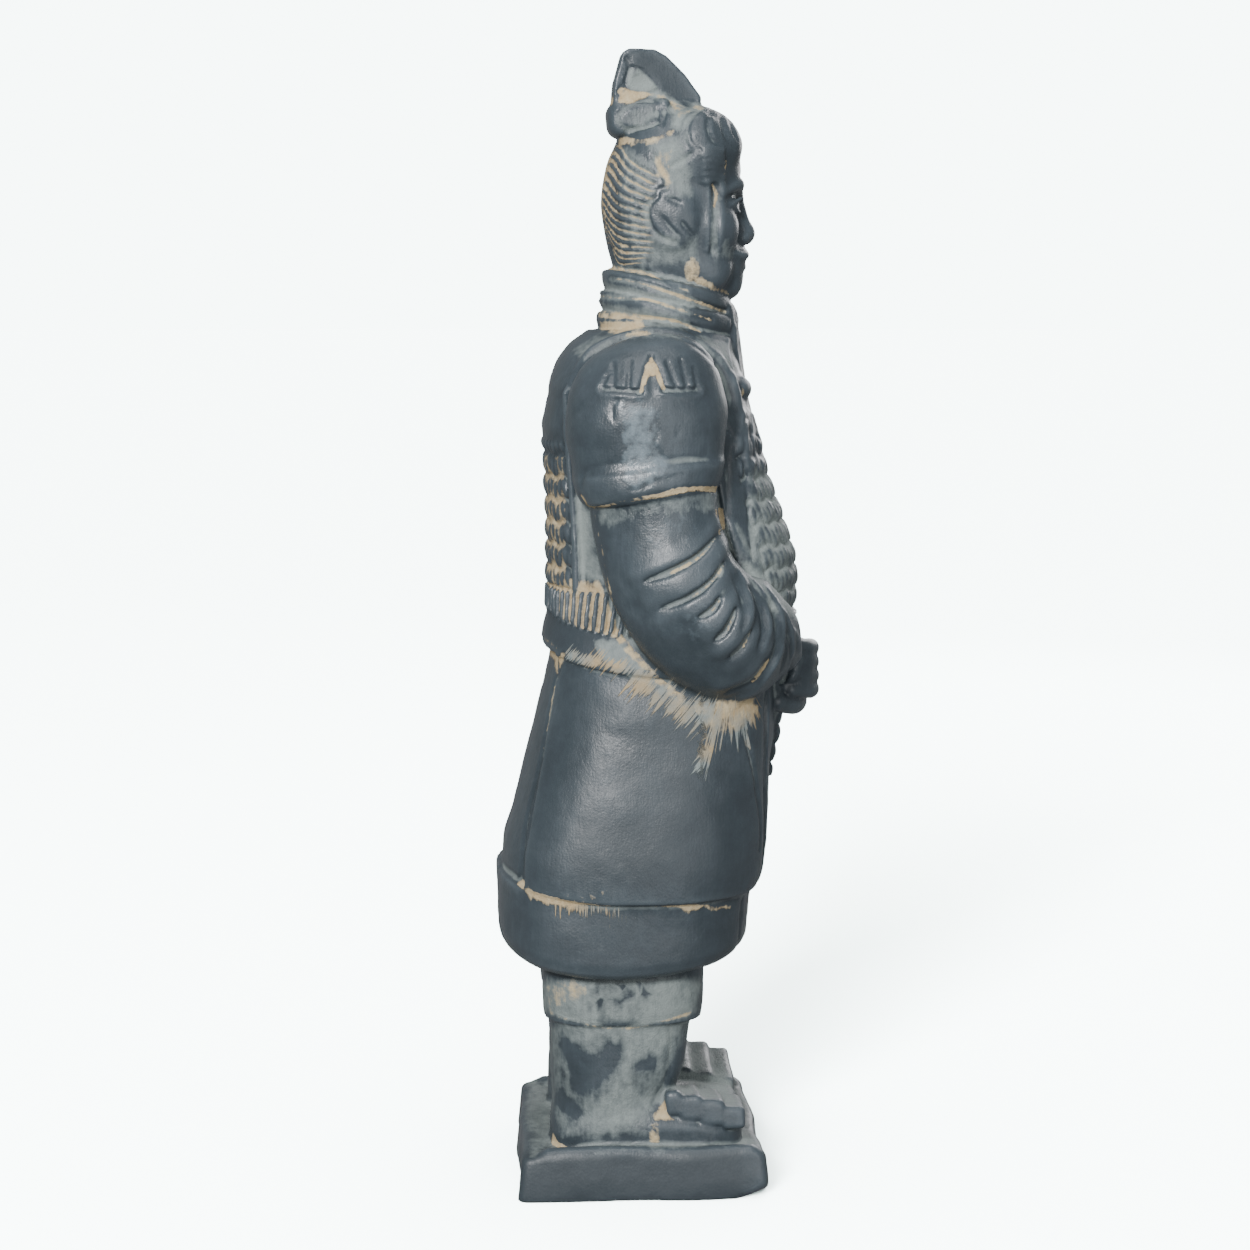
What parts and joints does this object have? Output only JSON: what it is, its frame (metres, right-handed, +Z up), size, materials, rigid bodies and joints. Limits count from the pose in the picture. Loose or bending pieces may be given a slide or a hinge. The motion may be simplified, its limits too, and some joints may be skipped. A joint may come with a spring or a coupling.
{
  "type": "terracotta warrior statue",
  "caption": "Souvenir figurine of a standing armoured general with clasped hands, moulded in dark fired clay in one piece with its low plinth",
  "frame": {"origin": "middle of the plinth's flat underside", "axes": "+Z up the figure, -Y the way it faces, +X to the figure's left"},
  "size_m": [0.0659, 0.0583, 0.2],
  "materials": {
    "grey_clay": "dark blue-grey fired clay, hand-burnished to a low sheen, with ochre and pale grey clay dust left in the hollows"
  },
  "bodies": {
    "root": {"warrior_statue": "grey_clay"}
  },
  "joints": []
}
